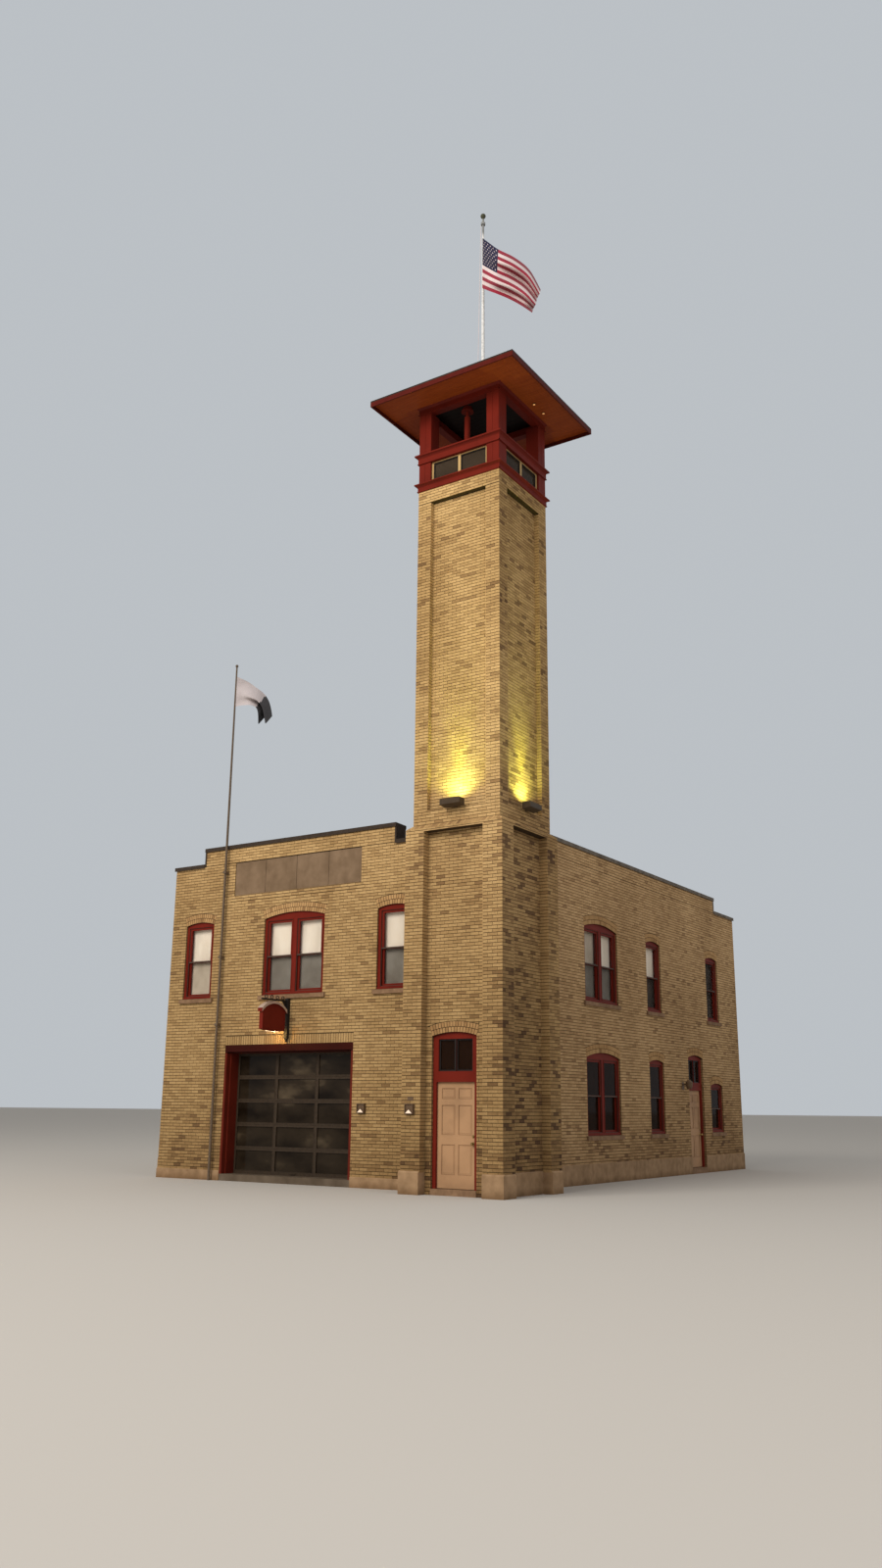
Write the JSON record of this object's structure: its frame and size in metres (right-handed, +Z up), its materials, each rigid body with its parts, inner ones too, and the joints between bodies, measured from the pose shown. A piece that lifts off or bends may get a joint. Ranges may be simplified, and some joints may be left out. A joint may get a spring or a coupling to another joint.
{
  "type": "fire station building",
  "caption": "Cream brick fire station with a garage door, arched windows, and a square tower with an open belfry, wide hipped roof and flagpole.",
  "frame": {"origin": "middle of the main block on the plane of the lowest ground", "axes": "+X to the right along the street front, +Y to the rear, +Z up"},
  "size_m": [10.82, 16.44, 23.155],
  "materials": {
    "brick": "matte cream brick with recessed joints",
    "render": "matte render",
    "dressed_stone": "dressed stone",
    "panel_stone": "smooth pinkish stone",
    "concrete": "trowelled concrete",
    "floor_boards": "boards",
    "roofing": "flat roofing felt",
    "dark_coping": "dark folded metal",
    "grey_coping": "grey coping tile",
    "red_paint": "barn red paint on wood",
    "glass": "clear window glass",
    "bronze_metal": "dark bronze paint",
    "beige_paint": "beige paint on a panelled door",
    "soffit_boards": "stained boards",
    "shingles": "dark shingles and fascia",
    "pole_metal": "satin aluminium",
    "flag_cloth": "woven cloth",
    "pale_cloth": "woven cloth",
    "cream_paint": "cream paint on wood",
    "fitting_metal": "black paint"
  },
  "bodies": {
    "building": {"ground_floor": "concrete", "front_piers": "brick", "front_wall_upper": "brick", "side_wall_front": "brick", "side_wall_rear": "brick", "side_wall_over_door": "brick", "left_wall": "brick", "rear_wall": "brick", "upper_floor": "floor_boards", "roof_deck": "roofing", "foundation": "render", "front_coping": "dark_coping", "side_coping": "grey_coping", "inscription_panel": "panel_stone", "window_sills": "dressed_stone", "window_frames": "red_paint", "window_glass": "glass", "garage_frame": "red_paint", "garage_door": "bronze_metal", "garage_glass": "glass", "tower_front_piers": "brick", "tower_front_wall": "brick", "tower_right_wall": "brick", "tower_left_wall": "brick", "tower_rear_wall": "brick", "tower_ledge": "brick", "door_steps": "dressed_stone", "door_frames": "red_paint", "cornices": "red_paint", "corner_posts": "red_paint", "belfry_window_trim": "cream_paint", "belfry_floor": "floor_boards", "belfry_beam": "red_paint", "belfry_stand": "red_paint", "soffit": "soffit_boards", "tower_roof": "shingles", "flagpole": "pole_metal", "flag": "flag_cloth", "wall_flagpole": "pole_metal", "small_flag": "pale_cloth", "sign_bracket": "fitting_metal", "sign_board": "red_paint", "floodlights": "bronze_metal", "wall_lamps": "bronze_metal"},
    "tower_door_leaf": {"tower_door": "beige_paint"},
    "side_door_leaf": {"side_door": "beige_paint"}
  },
  "joints": [
    {"name": "tower_door_hinge", "type": "hinge", "parent": "building", "child": "tower_door_leaf", "pos_m": [3.8, -7.936, 1.145], "axis": [0, 0, 1], "range_deg": [0, 90]},
    {"name": "side_door_hinge", "type": "hinge", "parent": "building", "child": "side_door_leaf", "pos_m": [4.386, 3.415, 1.175], "axis": [0, 0, 1], "range_deg": [0, 90]}
  ]
}
